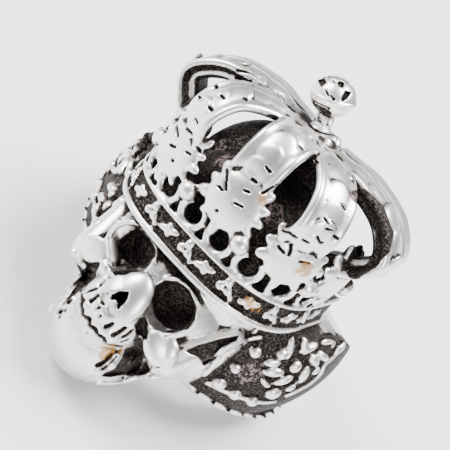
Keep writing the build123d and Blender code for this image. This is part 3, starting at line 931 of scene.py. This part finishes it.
def shut_in(piece, trees):
    """The share of short rays from each point that meet the ring."""
    fan = ray_fan(ray_count)
    shares = np.zeros(len(piece.data.vertices))
    for index, vertex in enumerate(piece.data.vertices):
        normal = vertex.normal
        turn = normal.to_track_quat("Z", "Y")
        start = vertex.co + normal * ray_start
        met = 0.0
        for ray in fan:
            direction = turn @ ray
            for tree in trees:
                gap = tree.ray_cast(start, direction, ray_reach)[3]
                if gap is not None:
                    met += 1 - 0.5 * gap / ray_reach
                    break
        shares[index] = met / ray_count
    return shares


def edges_of(piece):
    """The pairs of points that the edges join."""
    pairs = np.empty(len(piece.data.edges) * 2, dtype=np.int64)
    piece.data.edges.foreach_get("vertices", pairs)
    return pairs.reshape(-1, 2)


def spread(values, pairs, passes):
    """Evens values out over neighbouring points."""
    count = np.bincount(pairs.ravel(), minlength=len(values)).clip(1)
    for _ in range(passes):
        if values.ndim == 1:
            total = np.bincount(pairs[:, 0], values[pairs[:, 1]], len(values))
            total += np.bincount(pairs[:, 1], values[pairs[:, 0]], len(values))
            values = 0.5 * values + 0.5 * total / count
        else:
            values = np.stack([spread(column, pairs, 1) for column in values.T], axis=1)
    return values


def hollowness(piece, pairs, passes):
    """How far each point lies below its smoothed surroundings, in millimetres."""
    places, normals = points_of(piece)
    return ((spread(places, pairs, passes) - places) * normals).sum(1) / MM


def near_marks(places, tree, marks):
    """1 at places seen in the picture, falling to 0 at each one's radius in millimetres."""
    share = np.zeros(len(places))
    for x, y, radius in marks:
        spot, _ = touch(tree, x, y)
        if spot is not None:
            gap = np.linalg.norm(places - np.array(spot), axis=1)
            share = np.maximum(share, step(-gap, -radius * MM, -mark_core * radius * MM))
    return share


def in_outlines(piece, tree, outlines, edge):
    """1 well inside outlines in the picture, falling to 0 at their borders."""
    return np.max([step(seen_in(piece, tree, outline), 0.0, edge) for outline in outlines], axis=0)


def first_oxide(piece, trees, pairs, shut, cut, low):
    """Oxide where points are shut in, where the graver cut and where the skin lies low."""
    oxide = step(shut_in(piece, trees), *shut)
    oxide = np.maximum(oxide, step(cut_depths(points_of(piece)[0], piece.name) / MM, *cut))
    return np.maximum(oxide, 0.95 * step(hollowness(piece, pairs, low_passes), *low))


def keep_age(piece, oxide, rubbed, amber, coarse):
    """Writes the four shares as one attribute of the piece."""
    shares = np.stack([oxide, rubbed, amber, coarse], axis=1).astype(np.float32)
    age = piece.data.color_attributes.new("age", "FLOAT_COLOR", "POINT")
    age.data.foreach_set("color", np.clip(shares, 0, 1).ravel())
    print(piece.name, "is on average", round(float(oxide.mean()), 2), "black")
# %% Thinning the skins
skull_triangles, crown_triangles, orb_triangles = 196000, 196000, 60000
thin_out(skull, skull_triangles)
thin_out(crown, crown_triangles)
thin_out(orb, orb_triangles)
trees = [tree_of(skull), tree_of(crown), tree_of(orb)]
# %% Ageing the skull and the shank
# The dome under the crown is dark, and so is the ground of the panel on each shoulder. Each pair is where a
# share starts and where it is whole. The pair of a share that falls has its signs turned
dome_level = (0.3, 1.2)
panel_front, panel_back, panel_foot = (-54, -52), (-38, 2), (-8.9, -8.6)
panel_top, panel_floor = (-0.22, -0.08), -1.2
# Columns: place in the picture and radius in millimetres
rubbed_marks = [(215, 150, 1.6), (225, 160, 1.4), (272, 212, 1.5), (278, 222, 1.1), (253, 372, 1.6),
                (245, 380, 1.0), (108, 190, 1.6), (212, 140, 1.2)]
amber_marks = [(108, 350, 0.9), (104, 355, 0.7), (112, 346, 0.6), (120, 352, 0.6)]

places, _ = points_of(skull)
pairs = edges_of(skull)
in_head = local(places, HEAD)
oxide = first_oxide(skull, trees, pairs, shut=(0.08, 0.46), cut=(0.1, 0.28), low=(0.028, 0.065))
skull_outlines = [outline for outline, _, _ in skull_hollows]
oxide = np.maximum(oxide, in_outlines(skull, trees[0], skull_outlines, edge=2.2))
dome = step(local(places, CROWN)[:, 2], *dome_level)
reach, turns = round_shank(in_head)
ground = reach - shank_reach(in_head[:, 2]) + left_taken(in_head, turns)
panel = step(turns, *panel_front) * step(-turns, *panel_back) * step(in_head[:, 2], *panel_foot)
sunken = panel * step(-ground, *panel_top) * (ground > panel_floor)
oxide = np.maximum(oxide, 0.95 * sunken)
oxide = np.maximum(oxide, 0.97 * dome)
oxide = spread(oxide, pairs, 1)
rubbed = near_marks(places, trees[0], rubbed_marks)
amber = near_marks(places, trees[0], amber_marks)
keep_age(skull, oxide, rubbed, amber, np.maximum(dome, 0.6 * sunken))
# %% Ageing the crown
# The crown's inside is dark, and so are the band's flat ground between its rims and the gallery above it.
# The pairs are as on the skull
crown_middle = np.array((0, -1.9, 6.5))
inside_limits = (0.05, 0.5)
flat_foot, flat_top, flat_reach = (0.7, 0.85), (-2.65, -2.5), (-9.66, -9.56)
gallery_foot, gallery_top, gallery_reach = (3.15, 3.3), (-9.6, -9.2), (-9.4, -9.2)
far_arch = [(345, 190), (366, 187), (385, 205), (396, 235), (391, 253), (370, 273), (352, 285), (348, 272),
            (366, 262), (374, 248), (374, 232), (364, 215), (350, 200)]
rubbed_marks = [(353, 200, 1.4), (345, 215, 1.2), (215, 100, 1.0)]
amber_marks = [(305, 270, 1.1), (250, 303, 0.8), (262, 200, 0.7), (285, 199, 0.6), (256, 309, 0.7)]

places, normals = points_of(crown)
pairs = edges_of(crown)
in_crown = local(places, CROWN)
oxide = first_oxide(crown, trees, pairs, shut=(0.06, 0.42), cut=(0.1, 0.28), low=(0.012, 0.034))
outwards = in_crown - crown_middle
outwards /= np.linalg.norm(outwards, axis=1)[:, None]
facing = (normals @ np.array(CROWN.to_3x3()) / MM * outwards).sum(1)
oxide = np.maximum(oxide, 0.95 * step(-facing, *inside_limits))
across_share = np.abs(in_crown[:, 0]) ** band_squareness
along_share = np.abs(in_crown[:, 1] / band_stretch) ** band_squareness
ground = (across_share + along_share) ** (1 / band_squareness)
ground = np.where(in_crown[:, 1] > 0, np.abs(in_crown[:, 0]), ground)
flat = step(in_crown[:, 2], *flat_foot) * step(-in_crown[:, 2], *flat_top) * step(-ground, *flat_reach)
oxide = np.maximum(oxide, 0.96 * flat)
gallery = step(in_crown[:, 2], *gallery_foot) * step(-in_crown[:, 2], *gallery_top)
oxide = np.maximum(oxide, 0.95 * gallery * step(-ground, *gallery_reach))
oxide = np.maximum(oxide, 0.8 * in_outlines(crown, trees[1], [far_arch], edge=3.0))
oxide = spread(oxide, pairs, 1)
rubbed = 0.5 * near_marks(places, trees[1], rubbed_marks)
amber = near_marks(places, trees[1], amber_marks)
keep_age(crown, oxide, rubbed, amber, np.maximum(flat, 0.5 * oxide))
# %% Ageing the orb, with a patch of painted shade
pairs = edges_of(orb)
oxide = first_oxide(orb, trees, pairs, shut=(0.3, 0.68), cut=(0.08, 0.25), low=(0.012, 0.04))
# The pits are oxide, and orb_shade adds painted shade to the same dark share
oxide = np.maximum(oxide, in_outlines(orb, trees[2], orb_pits + [orb_shade], edge=2.0))
oxide = spread(oxide, pairs, 1)
keep_age(orb, oxide, 0 * oxide, 0 * oxide, 0.3 * oxide)
# %% [markdown]
# One small class lets shader maths be written as plain expressions. An expression on two signals adds the
# Math node for it, and any other node comes from one method.
# %% Shader maths
class Signal:
    """A value in a material's node tree."""
    nodes = None

    def __init__(self, socket):
        self.socket = socket

    @classmethod
    def node(cls, kind, settings=None, values=None, output=0):
        """Adds a node and gives one of its outputs."""
        made = cls.nodes.nodes.new(kind)
        for key, value in (settings or {}).items():
            setattr(made, key, value)
        for key, value in (values or {}).items():
            if isinstance(value, Signal):
                cls.nodes.links.new(value.socket, made.inputs[key])
            else:
                made.inputs[key].default_value = value
        return cls(made.outputs[output])

    def math(self, operation, other, swap=False):
        """Adds the Math node for an operation with another signal or a number."""
        first, second = (other, self) if swap else (self, other)
        return Signal.node("ShaderNodeMath", {"operation": operation}, {0: first, 1: second})

    def __add__(self, other):
        return self.math("ADD", other)

    def __radd__(self, other):
        return self.math("ADD", other, True)

    def __sub__(self, other):
        return self.math("SUBTRACT", other)

    def __rsub__(self, other):
        return self.math("SUBTRACT", other, True)

    def __mul__(self, other):
        return self.math("MULTIPLY", other)

    def above(self, low, high):
        """0 below low and 1 above high."""
        return Signal.node("ShaderNodeMapRange", {"interpolation_type": "SMOOTHSTEP"},
                           {"Value": self, "From Min": low, "From Max": high})


def tint(share, first, second):
    """A colour between two, by a share."""
    return Signal.node("ShaderNodeMix", {"data_type": "RGBA"}, {0: share, 6: first, 7: second}, 2)
# %% [markdown]
# The finish is one material for the whole ring. Polished silver is a bright metal with fine scratches.
# The oxide is nearly black, rough and grainy, with sparks of bare metal in it. The four shares of the age
# attribute mix them, and noise breaks their borders so that they look worn and not painted.
# %% Cast silver
# Red, green, blue and alpha
plain_silver, bright_silver = (0.84, 0.82, 0.79, 1), (0.93, 0.92, 0.9, 1)
# black_oxide also colours the patch of painted shade on the orb
black_oxide, grey_grain = (0.012, 0.01, 0.009, 1), (0.1, 0.085, 0.078, 1)
grey_tarnish, pink_rub, amber_polish = (0.36, 0.32, 0.3, 1), (0.46, 0.37, 0.36, 1), (0.5, 0.25, 0.06, 1)
# Each noise's scale per metre and its detail
cloud_noise, grain_noise = (700.0, 4.0), (5200.0, 3.0)
fine_noise, scratch_noise = (2300.0, 5.0), (2600.0, 2.0)
scratch_stretch, scratch_turn = (1.0, 7.0, 2.0), (0.4, 0.9, 0.3)
relief_strength, relief_depth = 0.45, 0.00008


def noise(place, scale, detail):
    """A noise texture at places on the ring."""
    return Signal.node("ShaderNodeTexNoise", values={"Vector": place, "Scale": scale, "Detail": detail})


def cast_silver():
    """Worn polished silver with black oxide in its hollows."""
    finish = bpy.data.materials.new("cast_silver")
    finish.use_nodes = True
    Signal.nodes = finish.node_tree
    shader = finish.node_tree.nodes["Principled BSDF"]
    place = Signal.node("ShaderNodeTexCoord", output=3)
    age = Signal.node("ShaderNodeAttribute", {"attribute_name": "age"})
    dark = Signal.node("ShaderNodeSeparateColor", values={0: age})
    rubbed = Signal(dark.socket.node.outputs[1])
    amber = Signal(dark.socket.node.outputs[2])
    coarse = Signal(age.socket.node.outputs["Alpha"])
    clouds = noise(place, *cloud_noise)
    grain = noise(place, *grain_noise)
    fine = noise(place, *fine_noise)
    drift = Signal.node("ShaderNodeMapping", values={"Vector": place, "Scale": scratch_stretch,
                                                     "Rotation": scratch_turn})
    scratches = noise(drift, *scratch_noise)
    # The dark share holds the oxide and, on the orb, a patch of painted shade
    oxide = (dark + (clouds - 0.5) * 0.5 + (grain - 0.5) * 0.5).above(0.2, 0.6)
    sparks = (grain + (clouds - 0.5) * 0.35).above(0.62, 0.78) * coarse
    oxide = oxide * (1 - sparks * 0.3)
    worn = (rubbed * 0.5 + (fine - 0.5) * 3.2 + (grain - 0.5) * 1.5).above(0.3, 0.9) * rubbed.above(0.02, 0.5)
    stain = (amber + (fine - 0.5) * 2.4).above(0.35, 0.9) * amber.above(0.02, 0.3)
    silver = tint(clouds.above(0.3, 0.7), plain_silver, bright_silver)
    black = tint(grain.above(0.4, 0.72), black_oxide, grey_grain)
    tarnish = (dark + (fine - 0.5) * 0.9 + (clouds - 0.5) * 0.4).above(0.03, 0.4)
    colour = tint(oxide, tint(tarnish * 0.75, silver, grey_tarnish), black)
    colour = tint(worn * 0.75, colour, pink_rub)
    colour = tint(stain * 0.8, colour, amber_polish)
    links = finish.node_tree.links
    links.new(colour.socket, shader.inputs["Base Color"])
    links.new((1 - stain * 0.3).socket, shader.inputs["Metallic"])
    rough = 0.27 + clouds * 0.14 + oxide * 0.3 + worn * 0.2 + scratches * 0.05
    links.new(rough.socket, shader.inputs["Roughness"])
    relief = grain * (oxide * 0.9 + 0.08) + scratches * 0.1 + fine * (coarse * 0.8 + 0.1)
    bump = Signal.node("ShaderNodeBump", values={"Strength": relief_strength, "Distance": relief_depth,
                                                 "Height": relief})
    links.new(bump.socket, shader.inputs["Normal"])
    return finish


silver = cast_silver()
for piece, node in ((skull, "skull_ring"), (crown, "crown"), (orb, "orb_finial")):
    piece.data.materials.append(silver)
    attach(piece, "root")
    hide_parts(node)
for node in frame["nodes"].values():
    node.data.materials.clear()
    node.data.materials.append(silver)
print("one finish on", len(frame["nodes"]), "pieces")
# %% [markdown]
# The ring lies on plain pale paper, in a bright studio: a wide white box overhead, a softer one at each
# side, and a pale surround that the silver mirrors.
# %% Paper and light
paper_size, paper_colour, paper_roughness = 3, (0.78, 0.78, 0.785, 1), 0.9
surround_colour, surround_strength = (0.96, 0.98, 1.0, 1), 0.36
# Columns: place and size in metres, and power in watts
softboxes = [((0.05, 0.1, 0.35), 0.24, 4.6), ((-0.3, -0.12, 0.22), 0.2, 3.0), ((0.3, -0.22, 0.16), 0.12, 1.0)]

bare()
bpy.ops.mesh.primitive_plane_add(size=paper_size, location=(0, 0, cad_box[0][2]))
paper = bpy.context.object
paper.name = "paper"
card = bpy.data.materials.new("paper")
card.use_nodes = True
card_shader = card.node_tree.nodes["Principled BSDF"]
card_shader.inputs["Base Color"].default_value = paper_colour
card_shader.inputs["Roughness"].default_value = paper_roughness
paper.data.materials.append(card)

studio = bpy.data.worlds.new("studio")
studio.use_nodes = True
surround = studio.node_tree.nodes["Background"]
surround.inputs["Color"].default_value = surround_colour
surround.inputs["Strength"].default_value = surround_strength
bpy.context.scene.world = studio


def softbox(place, size, power):
    """A square light that faces the ring."""
    lamp = bpy.data.lights.new("softbox", "AREA")
    lamp.size = size
    lamp.energy = power
    box = bpy.data.objects.new("softbox", lamp)
    box.location = place
    box.rotation_euler = (-Vector(place)).to_track_quat("-Z", "Y").to_euler()
    bpy.context.scene.collection.objects.link(box)


for place, size, power in softboxes:
    softbox(place, size, power)
print(len(softboxes), "softboxes")
